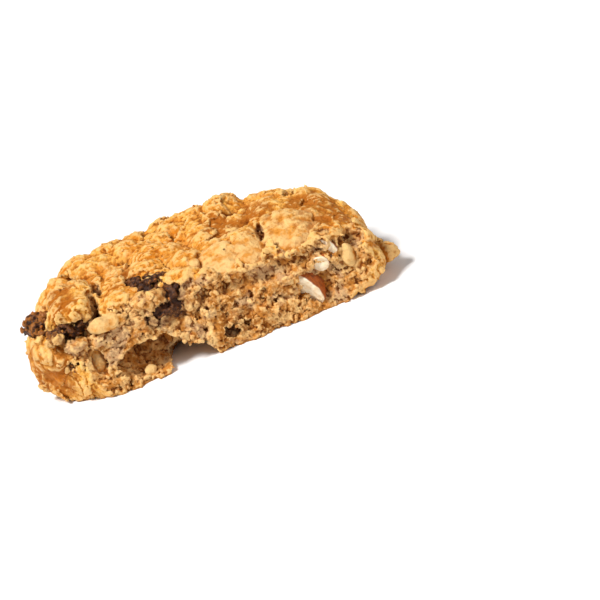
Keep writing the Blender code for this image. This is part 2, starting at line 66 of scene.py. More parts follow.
# The round's own frame, in millimetres: its origin is the middle of the break's lower edge.
HALF_WIDTH_LEFT = 37.9
HALF_WIDTH_RIGHT = 37.4
WIDEST_BEHIND_BREAK = 4.0
REACH_BACK = 34.6
REACH_FRONT_LEFT = 11.5
REACH_FRONT_RIGHT = 10.0
OUTLINE_POWER = 2.3
SIDE_BLEND = 10.0
BACK_BLEND = 2.0
SMALLEST_SHARE = 0.0001
SKEW = 0.07
THICKNESS = 20.0
TOP_SLOPE = 0.045
TOP_RISE = 0.10
RISE_FROM = 20.0
BASE_SINK = 1.0
RIM_ROUNDING = 8.2
DOME_DROP = 2.5
ORIGIN_IN_ROUND = (0.30, 17.83)
FLAT_CUT = 0.2

# Bends, which make a pattern uneven: the size of their waves, their depth along X, Y and Z, and detail.
ROUND_BEND = (19.0, (6.0, 6.0, 3.4), 1.0)
KNOB_BEND = (5.0, (2.0, 2.0, 2.0), 1.0)
PLATE_BEND = (2.5, (1.6, 1.6, 1.6), 1.0)
LARGE_FLAKE_BEND = (4.0, (3.4, 3.4, 1.6), 3.0)
SMALL_FLAKE_BEND = (3.0, (0.8, 0.8, 0.8), 1.0)
CLUMP_BEND = (1.8, (2.0, 2.0, 2.0), 3.0)
BUBBLE_BEND = (1.6, (2.2, 2.2, 2.2), 3.0)
FIG_BEND = (1.6, (1.8, 1.8, 1.8), 2.0)

# The break: how far its top is set back for each millimetre of height, how far it stands forward, and its
# swell, clumps, grain, pits and gaps. Here and below, a noise is its size, detail and roughness, and a grain
# or clouds are a noise and its depth.
BREAK_LEAN = 0.12
BREAK_FORWARD = 1.6
SWELL = ((15.0,), 5.0)
CLUMP_SIZE = 2.8
CLUMP_DEPTH = 1.1
SMALL_CLUMP_SIZE = 1.2
SMALL_CLUMP_DEPTH = 0.5
CRUMB_GRAIN = ((3.6, 5.0, 0.68), 4.0)
FINE_CRUMB_GRAIN = ((0.8, 2.0), 0.5)
PIT_NOISE = (1.6, 1.0)
PIT_EDGE = 0.1
PIT_DEPTH = 6.0
GAP_NOISE = (4.4, 2.0, 0.6)
GAP_WIDTH = 0.05
GAP_DEPTH = 16.0
GAP_PATCHES = ((6.0,), (-0.12, 0.08))

# Bubbles in the crumb: how far apart they are, their least and greatest radius, how far behind the break
# they reach and how much crust they leave.
BUBBLES = ((5.4, -1.6, 1.7), (2.9, -1.2, 1.0))
BUBBLE_REACH = 3.0
BUBBLE_BLEND = 0.2
CRUST_SHELL = 2.0

# The crust: its knobs, plates, grain and cracks.
KNOB_SIZE = 6.2
KNOB_DEPTH = 2.8
SMALL_KNOB_SIZE = 2.4
SMALL_KNOB_DEPTH = 0.7
TOP_FROM = 13.0
TOP_STRETCH = 0.65
PLATE_SIZE = 6.5
PLATE_PATCHES = ((11.0,), (-0.15, 0.1))
GRAIN = ((3.4, 5.0, 0.62), 2.2)
FINE_GRAIN = ((0.9, 2.0, 0.6), 0.7)
CRACK_NOISE = (9.0, 2.0)
CRACK_WIDTH = 0.03
CRACK_DEPTH = 24.0
CRACK_PATCHES = ((12.0,), (0.02, 0.12))
LUMP_BLEND = 0.5
LARGE_LUMPS = 2
LARGE_LUMP_RELIEF = 0.3
LARGE_LUMP_EDGE = (-0.5, 2.0)
EDGE_BLEND = 0.6

# Large lumps of the crust: centre and radii.
LUMPS = (
    ((-26.0, 6.4, 18.4), (4.9, 7.6, 3.1)),
    ((-33.4, 7.5, 11.6), (5.0, 7.5, 5.2)),
    ((-24.0, 20.0, 15.6), (5.4, 5.0, 3.4)),
    ((-14.6, 25.0, 16.0), (6.0, 5.6, 3.4)),
    ((8.8, 26.5, 17.4), (4.4, 5.0, 3.0)),
    ((10.0, 3.5, 15.7), (5.6, 4.4, 3.0)),
    ((38.2, 4.6, 4.6), (1.5, 1.6, 1.4)),
)

# Bubbles and cracks that open in the break or the crust: centre and radii.
HOLLOWS = (
    ((-14.6, -0.5, 5.2), (8.0, 6.5, 3.7)),
    ((-6.8, 0.0, -0.4), (5.4, 12.0, 5.0)),
    ((32.0, -0.2, 12.1), (3.0, 4.2, 1.9)),
    ((28.4, -0.5, 18.6), (4.6, 6.4, 3.6)),
    ((12.0, -2.2, 12.4), (11.0, 2.8, 2.2)),
    ((-22.0, 3.6, 17.6), (0.9, 4.4, 2.8)),
    ((-21.0, 10.6, 19.0), (1.2, 4.6, 3.0)),
    ((-28.2, -0.6, 15.0), (4.8, 3.4, 2.2)),
    ((10.4, 13.0, 17.6), (3.4, 1.2, 2.6)),
    ((2.2, -1.0, 4.0), (2.4, 1.8, 1.7)),
    ((23.6, -1.6, 6.4), (2.2, 2.4, 4.2)),
    ((15.2, 7.0, 17.2), (0.8, 4.8, 1.7)),
    ((19.8, -0.2, 15.6), (4.6, 0.8, 1.0)),
)
HOLLOW_ROUGHNESS = 0.5
HOLLOW_BLEND = 0.5

# Oat flakes that show whole: centre, radii and turns about X and Y in degrees.
FLAKES = (
    ((21.0, 7.0, 16.3), (5.2, 6.8, 1.2), (20.0, 6.0)),
    ((5.4, 4.8, 16.9), (4.1, 5.0, 1.1), (18.0, -5.0)),
    ((11.6, 4.4, 16.4), (3.0, 4.6, 1.1), (22.0, 10.0)),
    ((0.2, 5.0, 18.0), (1.2, 1.4, 0.7), (20.0, 0.0)),
    ((-21.2, -1.0, 15.5), (3.5, 1.7, 0.9), (50.0, 4.0)),
    ((-25.2, -0.6, 8.2), (1.1, 2.2, 0.7), (84.0, 10.0)),
    ((-16.0, -1.0, 2.3), (1.3, 1.0, 0.6), (60.0, 20.0)),
    ((30.2, -0.8, 9.4), (1.5, 2.6, 0.7), (80.0, 30.0)),
)
FLAKE_GRAIN = ((1.2, 4.0, 0.6), 0.45)
FLAKE_ROOM = (0.4, 0.6, 1.2)
FLAKE_LIFT = 1.3
FLAKE_ROOM_GRAIN = ((1.2, 3.0), 0.8)
FLAKE_ROOM_BLEND = 0.4
LARGE_FLAKE_FROM = 3.8

# Lumps of crumb that lie in front of the fruit: centre and radii. They are painted as this deep inside.
CLUMP_DEEP = 0.9
CLUMPS = (
    ((-11.6, 0.4, 16.2), (4.2, 2.6, 1.7)),
    ((-28.0, -0.8, 13.2), (3.0, 1.8, 1.6)),
    ((-24.0, -0.4, 12.4), (2.4, 1.8, 1.5)),
    ((-31.6, 0.2, 15.6), (1.8, 1.6, 1.2)),
    ((-3.0, -0.8, 12.0), (2.0, 1.6, 1.4)),
)

# Pieces of fig set in the break: each is one or more lobes, with a centre and radii.
FIGS = {
    "fig_middle": (
        ((-12.4, 6.6, 17.4), (2.4, 2.0, 1.3)),
        ((-9.0, 4.0, 17.2), (2.9, 2.6, 1.7)),
        ((-6.0, 1.8, 15.4), (2.4, 2.2, 2.2)),
        ((-8.6, 1.2, 12.4), (5.6, 2.4, 2.1)),
    ),
    "fig_left_end": (((-34.2, 6.8, 17.6), (2.8, 3.0, 1.7)),),
    "fig_left_inner": (((-28.8, 2.4, 16.2), (4.6, 2.4, 1.6)),),
    "fig_low_left": (((-28.8, 1.4, 8.4), (3.2, 2.0, 1.4)),),
}
FIG_BLEND = 1.6
FIG_WRINKLES = ((2.6, 3.0), 1.8)
FIG_FOLD_NOISE = (2.8, 1.0)
FIG_FOLD_DEPTH = 5.0
FIG_BUMP_SIZE = 1.3
FIG_BUMP_DEPTH = 0.6
FIG_GRAIN = ((0.9, 3.0, 0.6), 0.8)
FIG_SWELL = 0.5

# Chopped nut set in the break: centre, radii, turns about Y and Z in degrees, and where its flat cut lies.
NUTS = {
    "almond_piece": ((19.5, -0.6, 4.9), (5.4, 3.0, 4.4), (22.0, -50.0), 0.0),
    "almond_bit": ((24.4, -0.7, 9.8), (1.7, 2.0, 1.9), (30.0, -60.0), -0.3),
    "almond_sliver": ((26.8, -0.5, 12.2), (1.1, 1.7, 2.5), (14.0, -60.0), -0.3),
}
NUT_EDGE = 0.3
NUT_CUT_GRAIN = ((2.4, 3.0), 0.7)
NUT_GRAIN = ((1.8, 4.0, 0.6), 1.1)

# The room in front of each piece of fruit and nut, so that it shows.
OPENING_SHIFT = (0.0, 2.4, -1.0)
OPENING_ROUGHNESS = 0.9
OPENING_ROOM = 0.5
OPENING_BLEND = 0.3

DOUGH_LOW = (-HALF_WIDTH_LEFT - 3.0, -8.0, -1.0)
DOUGH_HIGH = (HALF_WIDTH_RIGHT + 4.0, WIDEST_BEHIND_BREAK + REACH_BACK + 5.0, 25.0)
FIG_MARGIN = 2.5
NUT_MARGIN = 2.0
PIECE_VOXEL = 0.2
REFINE_STEPS = 3
REFINE_SHARE = 0.6
REFINE_REACH = 0.3
FINE_ROUNDS = 5
WIDE_ROUNDS = 60

# Loose crumbs and fig seeds: their radius, their least and greatest scale, and where the crumbs lie.
SEED = 7
BIT_SEGMENTS = 7
BIT_RINGS = 5
BIT_RADIUS = 0.5
CRUMB_SIZES = ((0.3, 0.3, 0.2), (1.5, 1.0, 0.7))
SEED_SIZES = ((0.7, 0.5, 0.4), (1.1, 0.8, 0.6))
SEED_SHARE = 0.5
# How far each loose crumb counts as standing out, which sets how much painted highlight and painted shade
# its colour takes.
LOOSE_CRUMB_FINE = 0.1
BARE_PATCHES = ((4.0,), (0.12, -0.06, 0.75))
BARE_LEAST = 0.25
CRUMBS_INSIDE = (0.2, 1.0, 0.8)
CRUMBS_LEAST = 0.2
CRUMBS_OFF_FLAKES = (0.2, 0.8)
CRUMBS_OFF_BASE = (0.9, 1.5)

# Browner parts of the crust, some of them painted shade on the shaded right side of the large left lump:
# centre and radii.
TOASTED_AND_SHADED = (
    ((-35.0, 6.0, 8.0), (6.0, 10.0, 7.0)),
    ((12.0, 18.0, 18.6), (7.0, 5.0, 4.0)),
    ((16.0, 10.0, 17.6), (3.0, 4.0, 3.0)),
    ((-22.6, 9.0, 19.0), (2.6, 6.0, 4.0)),
    ((-16.0, 9.0, 18.4), (3.0, 3.0, 3.0)),
    ((31.0, 8.0, 15.0), (5.0, 4.0, 4.0)),
    ((-26.0, 7.0, 19.0), (6.0, 8.0, 5.0)),
    ((27.0, 13.0, 16.0), (6.0, 7.0, 4.0)),
    ((-23.4, 5.0, 18.0), (2.6, 5.0, 4.5)),
    ((39.4, 4.6, 4.6), (2.5, 3.0, 3.0)),
)

# Colours. A cover is where a colour starts over another, where it is full, and the most it covers. A noise
# and a cover give patches.
ORANGE_PATCHES = ((5.0, 4.0, 0.6), (-0.05, 0.15))
PLATE_COVER = (-0.1, 0.4, 0.6)
FLAKE_PATCHES = ((2.4, 5.0, 0.65), (-0.02, 0.12, 0.75))
TAN_PATCHES = ((8.0, 5.0, 0.65), (0.0, 0.14, 0.6))
# Browning over the crust, partly painted shade: it grows where the surface is recessed and on the browner
# parts, some of which are painted shade. MOST_STAND caps how far a raised part counts.
MOST_STAND = 0.5
BROWNED_AND_SHADED_EDGE = (2.0, -1.0)
TOAST_CLOUDS = ((6.5, 3.0), 2.2)
TOAST_SPECKS = ((1.4, 4.0, 0.7), 1.8)
TOAST_AND_SHADE_WEIGHTS = (0.7, 0.8)
TOAST_AND_SHADE_COVER = (0.1, 0.85, 0.85)
# Painted shade in the crust's small pits.
PIT_SHADE_CLOUDS = ((0.8, 3.0, 0.7), 0.5)
PIT_SHADE_COVER = (0.0, 0.14, 0.85)
# Painted shade that makes the crust's hollows deep brown.
CRUST_HOLLOW_COVER = (0.22, 0.8, 0.9)
# Painted highlight that makes the crust's ridges and raised parts pale.
RIDGE_CLOUDS = ((0.7, 2.0), 0.2)
RIDGE_WEIGHTS = (0.25, 0.04)
RIDGE_COVER = (0.05, 0.22, 0.65)
TOAST_GRAINS = ((0.5, 3.0, 0.7), (0.1, 0.25, 0.6))

LIGHT_CRUMB_PATCHES = ((2.4, 4.0, 0.65), (-0.1, 0.2))
DARK_CRUMB_PATCHES = ((7.0, 2.0), (0.0, 0.25, 0.5))
GREY_CRUMB_PATCHES = ((4.6, 3.0), (0.02, 0.12, 0.7))
# Painted shade in the crumb's pits and hollows, and a painted highlight on its ridges.
CRUMB_PIT_CLOUDS = ((0.8,), 0.1)
CRUMB_PIT_COVER = (-0.02, 0.2, 0.9)
CRUMB_HOLLOW_COVER = (0.15, 1.1, 0.85)
CRUMB_RIDGE_COVER = (0.05, 0.22, 0.7)

OAT_NOISE = (2.6, 4.0, 0.6)
# OAT_FINE_WEIGHT paints the flakes' ridges paler as a highlight, and their browning is also painted shade
# where they are recessed.
OAT_FINE_WEIGHT = 0.5
OAT_COVER = (-0.16, 0.12)
OAT_TOAST_NOISE = (3.4, 5.0, 0.7)
OAT_BROWNED_AND_SHADED_WEIGHT = 0.2
OAT_TOAST_AND_SHADE_COVER = (0.0, 0.24, 0.65)

INSIDE_CLOUDS = ((1.5, 3.0), 1.2)
INSIDE_COVER = (0.3, 1.0)
FLAKE_CLOUDS = ((1.2, 3.0), 0.5)
FLAKE_COVER = (0.35, 0.1, 0.8)
STAIN_CLOUDS = ((2.0, 3.0), 3.0)
STAIN_COVER = (2.0, 0.2, 0.75)
BASE_COVER = (0.9, 0.45)
BASE_PATCHES = ((5.0, 4.0, 0.6), (-0.25, 0.2, 0.6))
BASE_LEAST = 0.4
SPECK_SPACING = 3.4
SPECK_CLOUDS = ((0.7,), 0.3)
SPECK_COVER = (0.32, 0.2, 0.9)
SPECK_CHANCE = (0.1, 0.12)

FIG_LIGHT_PATCHES = ((1.4, 4.0, 0.65), (0.0, 0.25))
# Painted highlight on the fig's ridges.
FIG_RIDGE_CLOUDS = ((0.8, 2.0), 0.2)
FIG_RIDGE_COVER = (0.02, 0.16, 0.7)
FIG_CRUMB_NOISE = (1.8, 3.0)
FIG_CRUMB_COVER = (0.14, 0.3, 0.7)
BAKED_FROM = (-29.5, -34.0)
BAKED_COVER = (-0.06, 0.14, 0.8)
# Painted shade in the fig's folds.
FIG_HOLLOW_COVER = (0.0, 0.12, 0.8)
SEED_PATCHES = ((0.8, 2.0), (-0.2, 0.2))
SKIN_STRETCH = (1.0, 1.0, 0.3)
SKIN_NOISE = (0.7, 4.0, 0.7)
SKIN_COVER = (-0.1, 0.15)
CUT_EDGE = (0.5, 0.15)
FLESH_PATCHES = ((1.2, 3.0), (-0.15, 0.2))

# The view: the picture's size and scale, and where the middle of the break's lower edge stands in it.
IMAGE_SIZE = 600
PIXELS_PER_MM = 4.85
BREAK_FOOT_PIXEL = (226.5, 346.2)
VIEW_ELEVATION = 24.0
VIEW_ROLL = 22.0
LENS = 135.0
SENSOR = 36.0

# The stage: the floor's side, the air's strength, and each light's place, width and power.
FLOOR_SIZE = 4.0
AIR_STRENGTH = 0.26
LIGHT_TARGET = (0.0, 0.0, 0.01)
LIGHTS = {
    "key_softbox": ((-0.9, -0.45, 1.75), 0.5, 50.0),
    "fill_softbox": ((1.3, -1.4, 1.1), 1.4, 14.0),
}


class Field:
    """A number, vector or colour in a node tree. Python's operators add the Math nodes."""

    def __init__(self, socket):
        self.socket = socket
        self.tree = socket.id_data

    def node(self, kind, settings=None, **sockets):
        """Adds a node with its settings first and then its named sockets, and returns it."""
        made = self.tree.nodes.new(kind)
        for name, value in (settings or {}).items():
            setattr(made, name, value)
        for name, value in sockets.items():
            fill(made.inputs[name.replace("_", " ")], value)
        return made

    def made(self, kind, settings=None, output=0, **sockets):
        """Adds a node in the same way and returns one of its outputs."""
        return Field(self.node(kind, settings, **sockets).outputs[output])

    def operate(self, kind, operation, *values, output=0):
        made = self.node(kind, {"operation": operation})
        for socket, value in zip(made.inputs, values):
            fill(socket, value)
        return Field(made.outputs[output])

    def math(self, operation, *values):
        return self.operate("ShaderNodeMath", operation, *values)

    def __add__(self, other):
        return self.math("ADD", self, other)

    def __sub__(self, other):
        return self.math("SUBTRACT", self, other)

    def __rsub__(self, other):
        return self.math("SUBTRACT", other, self)

    def __mul__(self, other):
        return self.math("MULTIPLY", self, other)

    def __truediv__(self, other):
        return self.math("DIVIDE", self, other)

    def __rtruediv__(self, other):
        return self.math("DIVIDE", other, self)

    def __pow__(self, other):
        return self.math("POWER", self, other)

    def __neg__(self):
        return self.math("MULTIPLY", self, -1.0)

    def __abs__(self):
        return self.math("ABSOLUTE", self)

    def larger(self, other):
        return self.math("MAXIMUM", self, other)

    def smaller(self, other):
        return self.math("MINIMUM", self, other)

    def clamped(self, low, high):
        return self.larger(low).smaller(high)

    def joined(self, other, blend):
        """The union with another distance, rounded over the blend width."""
        return self.math("SMOOTH_MIN", self, other, blend)

    def common(self, other, blend):
        """What this distance and another share, rounded over the blend width."""
        return self.math("SMOOTH_MAX", self, other, blend)

    def beside(self, other, power=2.0):
        """The length over two numbers, or that of a squarer outline with a higher power."""
        return (abs(self) ** power + abs(other) ** power) ** (1.0 / power)

    def ramp(self, low, high):
        """0 at the low value and 1 at the high one, smooth between and level beyond them."""
        smooth = {"interpolation_type": "SMOOTHSTEP"}
        return self.made("ShaderNodeMapRange", smooth, Value=self, From_Min=low, From_Max=high)

    def cover(self, low, high, most=1.0):
        """The same ramp up to the most that one colour covers of another."""
        return self.ramp(low, high) * most

    def moved(self, offset):
        return self.operate("ShaderNodeVectorMath", "ADD", self, offset)

    def less(self, offset):
        return self.operate("ShaderNodeVectorMath", "SUBTRACT", self, offset)

    def scaled(self, factors):
        return self.operate("ShaderNodeVectorMath", "MULTIPLY", self, factors)

    def dot(self, other):
        return self.operate("ShaderNodeVectorMath", "DOT_PRODUCT", self, other, output=1)

    def length(self):
        return self.operate("ShaderNodeVectorMath", "LENGTH", self, output=1)

    def turned(self, axis, degrees):
        about = {"rotation_type": axis + "_AXIS"}
        return self.made("ShaderNodeVectorRotate", about, Vector=self, Angle=math.radians(degrees))

    def parts(self):
        made = self.node("ShaderNodeSeparateXYZ", Vector=self)
        return [Field(output) for output in made.outputs]

    def noise(self, size, detail=2.0, roughness=0.5):
        """Cloudy noise whose features have this size, from about -0.5 to 0.5."""
        sockets = {"Scale": 1.0 / size, "Detail": detail, "Roughness": roughness}
        return self.made("ShaderNodeTexNoise", Vector=self, **sockets) - 0.5

    def bent(self, size, depth, detail):
        """The same places, moved by this much of a soft noise along X, Y and Z."""
        sockets = {"Scale": 1.0 / size, "Detail": detail}
        noise = self.made("ShaderNodeTexNoise", output="Color", Vector=self, **sockets)
        return self.moved(noise.moved((-0.5, -0.5, -0.5)).scaled(depth))

    def clouds(self, noise, weight):
        """A noise of this weight."""
        return self.noise(*noise) * weight

    def patches(self, noise, cover):
        """Cloudy patches, from a noise and how much of it they cover."""
        return self.noise(*noise).cover(*cover)

    def cells(self, size):
        """Cells this far apart, from about -0.5 at the middle of one to 0.5 at its edge."""
        return self.made("ShaderNodeTexVoronoi", Vector=self, Scale=1.0 / size) - 0.5

    def domes(self, size):
        """Packed round bumps this far apart, from about -0.4 on top of one to 0.6 in the valleys."""
        return self.made("ShaderNodeTexVoronoi", Vector=self, Scale=1.0 / size) ** 2.0 - 0.4

    def scattered(self, size):
        """Scattered points this far apart: how far the nearest is, its random vector and its place."""
        made = self.node("ShaderNodeTexVoronoi", Vector=self, Scale=1.0 / size)
        distance = Field(made.outputs["Distance"]) * size
        chance = Field(made.outputs["Color"]).moved((-0.5, -0.5, -0.5))
        return distance, chance, Field(made.outputs["Position"])

    def bubbles(self, size, least, most):
        """The distance to scattered round bubbles, negative inside them."""
        distance, chance, _ = self.scattered(size)
        return distance - (chance.parts()[0] + 0.5) * (most - least) - least

    def ellipsoid(self, centre, radii, turns=()):
        """Roughly the distance to an ellipsoid's surface, negative inside."""
        offset = self.moved([-value for value in centre])
        for axis, degrees in turns:
            offset = offset.turned(axis, -degrees)
        return (offset.scaled([1.0 / value for value in radii]).length() - 1.0) * min(radii)


def fill(socket, value):
    """Links a field to a socket, or sets the socket's value."""
    if isinstance(value, Field):
        socket.id_data.links.new(value.socket, socket)
    else:
        socket.default_value = value


def mixed(factor, first, second):
    """Mixes two colours. Each may be a field or a colour."""
    made = factor.node("ShaderNodeMix", {"data_type": "RGBA", "clamp_factor": True})
    fill(made.inputs[0], factor)
    for socket, value in zip(made.inputs[6:8], (first, second)):
        fill(socket, value if isinstance(value, Field) else (*value, 1.0))
    return Field(made.outputs[2])


def layered(colour, *layers):
    """Lays colours over the first one, each with how much of it shows."""
    for factor, over in layers:
        colour = mixed(factor, colour, over)
    return colour


# The biscuit's form, as distances in millimetres from its surface, negative inside.


def crust_distance(point):
    """The unbroken biscuit: a thick round with a rounded rim, which drops a little from its middle."""
    x, y, z = point.parts()
    z = z + BASE_SINK
    behind = y - WIDEST_BEHIND_BREAK + x * SKEW
    right = (x * (1.0 / SIDE_BLEND)).clamped(-1.0, 1.0) * 0.5 + 0.5
    front = right * (REACH_FRONT_RIGHT - REACH_FRONT_LEFT) + REACH_FRONT_LEFT
    back = (behind * (1.0 / BACK_BLEND)).clamped(-0.5, 0.5) + 0.5
    reach = front + back * (REACH_BACK - front)
    half_width = right * (HALF_WIDTH_RIGHT - HALF_WIDTH_LEFT) + HALF_WIDTH_LEFT
    share = (x / half_width).beside(behind / reach, OUTLINE_POWER) + SMALLEST_SHARE
    outline = x.beside(behind) * (1.0 - 1.0 / share)
    middle = THICKNESS / 2
    drop = share * share * DOME_DROP + x * TOP_SLOPE + (RISE_FROM - y) * TOP_RISE
    lifted = z * (drop / THICKNESS + 1.0)
    across = outline + RIM_ROUNDING
    above = abs(lifted - middle) - (middle - RIM_ROUNDING)
    corner = across.larger(0.0).beside(above.larger(0.0))
    return corner + across.larger(above).smaller(0.0) - RIM_ROUNDING


def plate_relief(point, tilt, step):
    """Flat overlapping patches, each tilted its own way, like flakes under a thin dough."""
    bent = point.bent(*PLATE_BEND)
    _, chance, place = bent.scattered(PLATE_SIZE)
    return bent.less(place).dot(chance) * tilt + chance.parts()[2] * step


def upright(point):
    """Stretches a pattern upward over the top, so that its bumps stand there and don't overhang."""
    above = (point.parts()[2] - TOP_FROM).larger(0.0)
    return point.moved(above.scaled((0.0, 0.0, -TOP_STRETCH)))


def crust_relief(point, sizes):
    """How far the crust stands below its plain form: soft knobs, a few plates, cracks and grain."""
    point = upright(point)
    bent = point.bent(*KNOB_BEND)
    knobs = bent.domes(KNOB_SIZE) * KNOB_DEPTH + bent.domes(SMALL_KNOB_SIZE) * SMALL_KNOB_DEPTH
    plates = plate_relief(point, sizes["Plate tilt"], sizes["Plate step"])
    plates = plates * point.patches(*PLATE_PATCHES)
    grain = point.clouds(*GRAIN) + point.clouds(*FINE_GRAIN)
    cracks = (CRACK_WIDTH - abs(bent.noise(*CRACK_NOISE))).larger(0.0) * CRACK_DEPTH
    return knobs + plates + grain + cracks * point.patches(*CRACK_PATCHES)


def nearest(distances):
    first, *others = distances
    for other in others:
        first = first.smaller(other)
    return first


def nearest_of(point, places):
    """The distance to the nearest of several ellipsoids, each a centre and radii."""
    return nearest([point.ellipsoid(centre, radii) for centre, radii in places])


def flake_distances(point):
    """The distances to the large, slightly wavy oat flakes and to the room that is left over them."""
    ragged = point.bent(*LARGE_FLAKE_BEND)
    smooth = point.bent(*SMALL_FLAKE_BEND)
    flakes, rooms = [], []
    for centre, radii, (across, along) in FLAKES:
        bent = ragged if radii[0] > LARGE_FLAKE_FROM else smooth
        level = bent.moved([-value for value in centre]).turned("X", -across).turned("Y", -along)
        flakes.append(level.ellipsoid((0.0, 0.0, 0.0), radii))
        room_radii = [radius + more for radius, more in zip(radii, FLAKE_ROOM)]
        rooms.append(level.ellipsoid((0.0, 0.0, FLAKE_LIFT), room_radii))
    return nearest(flakes), nearest(rooms)


def crumb_relief(point):
    """How far the broken dough stands below its plain form: clumps of crumbs, pits and winding gaps."""
    bent = point.bent(*CLUMP_BEND)
    clumps = bent.domes(CLUMP_SIZE) * CLUMP_DEPTH + bent.cells(SMALL_CLUMP_SIZE) * SMALL_CLUMP_DEPTH
    grain = point.clouds(*CRUMB_GRAIN) + point.clouds(*FINE_CRUMB_GRAIN)
    pits = (bent.noise(*PIT_NOISE) - PIT_EDGE).larger(0.0) * PIT_DEPTH
    gaps = (GAP_WIDTH - abs(bent.noise(*GAP_NOISE))).larger(0.0) * GAP_DEPTH
    return clumps + grain + pits + gaps * point.patches(*GAP_PATCHES)


def crumb_distance(point, plain):
    """The broken side: all that is behind a leaning, swelling wall of crumbs, with bubbles in it."""
    _, y, z = point.parts()
    wall = (z - THICKNESS / 2) * BREAK_LEAN - BREAK_FORWARD + point.clouds(*SWELL) - y
    broken = wall + crumb_relief(point)
    bent = point.bent(*BUBBLE_BEND)
    for size, least, most in BUBBLES:
        bubble = -bent.bubbles(size, least, most)
        bubble = bubble.smaller(wall + BUBBLE_REACH).smaller(-plain - CRUST_SHELL)
        broken = broken.common(bubble, BUBBLE_BLEND)
    return broken


def openings(point):
    """Room in front of each piece of fig and nut, so that it shows."""
    ahead = point.moved(OPENING_SHIFT)
    room = nearest_of(ahead, [lobe for lobes in FIGS.values() for lobe in lobes])
    for centre, radii, turns, _ in NUTS.values():
        room = room.smaller(ahead.ellipsoid(centre, radii, (("Z", -turns[1]), ("Y", -turns[0]))))
    return room


def dough_distances(point, sizes):
    """The distances to the dough and the whole flakes, and how far the break lies within the crust."""
    plain = crust_distance(point.bent(*ROUND_BEND))
    for centre, radii in LUMPS:
        plain = plain.joined(point.ellipsoid(centre, radii), min(radii) * LUMP_BLEND)
    relief = crust_relief(point, sizes)
    away = nearest_of(point, LUMPS[:LARGE_LUMPS]).ramp(*LARGE_LUMP_EDGE)
    calm = away * (1.0 - LARGE_LUMP_RELIEF) + LARGE_LUMP_RELIEF
    crust = plain + relief * calm
    broken = crumb_distance(point, plain)
    dough = crust.common(broken, EDGE_BLEND)
    roughness = crumb_relief(point) * HOLLOW_ROUGHNESS
    for centre, radii in HOLLOWS:
        dough = dough.common(roughness - point.ellipsoid(centre, radii), HOLLOW_BLEND)
    opened = crumb_relief(point) * OPENING_ROUGHNESS - openings(point) - OPENING_ROOM
    dough = dough.common(opened, OPENING_BLEND)
    for centre, radii in CLUMPS:
        dough = dough.joined(point.ellipsoid(centre, radii) + roughness, HOLLOW_BLEND)
    flake, room = flake_distances(point)
    flake = flake + point.clouds(*FLAKE_GRAIN)
    over = point.clouds(*FLAKE_ROOM_GRAIN) - room
    dough = dough.common(over, FLAKE_ROOM_BLEND).smaller(flake)
    return dough.larger(FLAT_CUT - point.parts()[2]), flake, broken.larger(dough) - crust


def fig_distance(point, lobes):
    """A wrinkled piece of dried fig made of rounded lobes."""
    first, *others = [point.ellipsoid(centre, radii) for centre, radii in lobes]
    for lobe in others:
        first = first.joined(lobe, FIG_BLEND)
    return first + point.clouds(*FIG_WRINKLES)


def fig_flesh(point):
    """How far the seedy flesh of a fig stands below its plain form."""
    bent = point.bent(*FIG_BEND)
    folds = abs(bent.noise(*FIG_FOLD_NOISE)) * FIG_FOLD_DEPTH
    bumps = bent.domes(FIG_BUMP_SIZE) * FIG_BUMP_DEPTH
    return folds + bumps + point.clouds(*FIG_GRAIN) - FIG_SWELL


def nut_distances(point, centre, radii, turns, cut_at):
    """A chopped piece of nut, and the distance to its flat cut."""
    level = point.moved([-value for value in centre]).turned("Y", turns[0]).turned("Z", turns[1])
    cut = -level.parts()[0] + cut_at * radii[0] + point.clouds(*NUT_CUT_GRAIN)
    nut = level.ellipsoid((0.0, 0.0, 0.0), radii).common(cut, NUT_EDGE)
    return nut + point.clouds(*NUT_GRAIN), cut


# Meshes from node trees.


class Growth:
    """A Geometry Nodes tree with named inputs, which makes or changes a piece's mesh."""

    def __init__(self, name, takes_mesh=False):
        self.tree = bpy.data.node_groups.new(name, "GeometryNodeTree")
        self.values = {}
        for end in ("OUTPUT", "INPUT") if takes_mesh else ("OUTPUT",):
            self.tree.interface.new_socket("Geometry", in_out=end, socket_type="NodeSocketGeometry")
        self.input = self.tree.nodes.new("NodeGroupInput")

    def size(self, name, value):
        """Adds a named input and returns it as a field."""
        self.tree.interface.new_socket(name, in_out="INPUT", socket_type="NodeSocketFloat")
        self.values[name] = value
        return Field(self.input.outputs[name])

    def point(self):
        """The place of each point in the round's own frame, in millimetres."""
        position = Field(self.tree.nodes.new("GeometryNodeInputPosition").outputs[0])
        return position.scaled((1 / MM, 1 / MM, 1 / MM)).moved((*ORIGIN_IN_ROUND, 0.0))

    def surface(self, *objects):
        """The meshes of some objects as one."""
        joined = self.tree.nodes.new("GeometryNodeJoinGeometry")
        for obj in objects:
            info = self.tree.nodes.new("GeometryNodeObjectInfo")
            info.inputs["Object"].default_value = obj
            self.tree.links.new(info.outputs["Geometry"], joined.inputs[0])
        return Field(joined.outputs[0])

    def attribute(self, name):
        made = self.tree.nodes.new("GeometryNodeInputNamedAttribute")
        made.inputs["Name"].default_value = name
        return Field(made.outputs["Attribute"])

    def finished(self, geometry, obj, material):
        """Ends the tree with this geometry, runs it on the object and keeps the mesh."""
        real = geometry.made("GeometryNodeRealizeInstances", Geometry=geometry)
        dressed = geometry.node("GeometryNodeSetMaterial", Geometry=real)
        dressed.inputs["Material"].default_value = material
        fill(self.tree.nodes.new("NodeGroupOutput").inputs[0], Field(dressed.outputs[0]))
        modifier = obj.modifiers.new(self.tree.name, "NODES")
        modifier.node_group = self.tree
        for item in self.tree.interface.items_tree:
            if item.in_out == "INPUT" and item.name in self.values:
                modifier[item.identifier] = self.values[item.name]
        return applied(obj)


